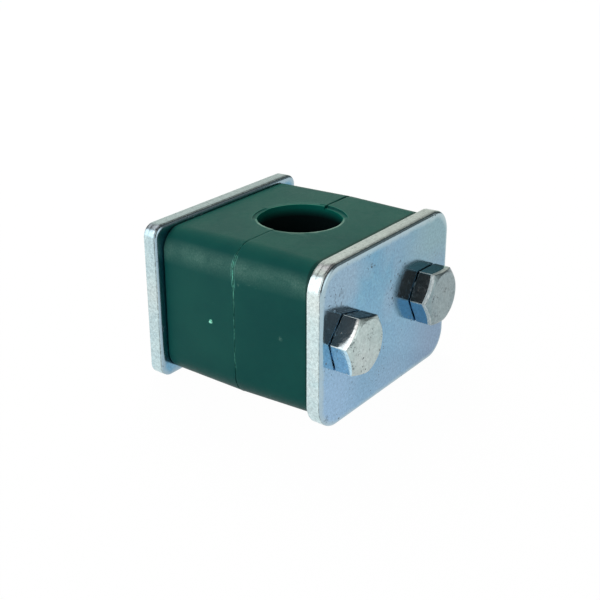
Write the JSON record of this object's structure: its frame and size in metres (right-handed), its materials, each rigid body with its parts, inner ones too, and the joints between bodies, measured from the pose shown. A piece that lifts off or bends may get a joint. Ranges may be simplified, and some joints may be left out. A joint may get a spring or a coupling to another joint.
{
  "type": "hydraulic tube clamp",
  "caption": "Light-series tube clamp: split green plastic block with a round tube bore, closed between a cover plate and a weld plate by hexagon bolts.",
  "frame": {"origin": "on the tube bore's axis, in the parting plane of the halves, halfway along the bore", "axes": "+X from bolt to bolt, +Y from the cover plate to the weld plate, +Z along the tube bore; stored standing on the long edges of the plates, as in the picture"},
  "size_m": [0.042, 0.043, 0.03],
  "materials": {
    "plate_zinc": "bright zinc plated, bluish",
    "bush_steel": "bright zinc plated",
    "clamp_green": "moulded, satin",
    "bolt_zinc": "bright zinc plated"
  },
  "bodies": {
    "base": {"weld_plate": "plate_zinc", "bush_left": "bush_steel", "bush_right": "bush_steel", "clamp_half_back": "clamp_green"},
    "cover": {"cover_plate": "plate_zinc", "clamp_half_front": "clamp_green"},
    "bolt_l": {"bolt_left": "bolt_zinc"},
    "bolt_r": {"bolt_right": "bolt_zinc"}
  },
  "joints": [
    {"name": "cover_lift", "type": "slide", "parent": "base", "child": "cover", "axis": [0, -1, 0], "range_m": [0, 0.005]},
    {"name": "bolt_left_turn", "type": "hinge", "parent": "cover", "child": "bolt_l", "pos_m": [-0.013, -0.0195, 0], "axis": [0, -1, 0], "range_deg": [0, 1800]},
    {"name": "bolt_right_turn", "type": "hinge", "parent": "cover", "child": "bolt_r", "pos_m": [0.013, -0.0195, 0], "axis": [0, -1, 0], "range_deg": [0, 1800]}
  ],
  "couplings": [
    {"joint": "bolt_left_turn", "follows": "cover_lift", "rad_per_m": 6283.2},
    {"joint": "bolt_right_turn", "follows": "cover_lift", "rad_per_m": 6283.2}
  ]
}
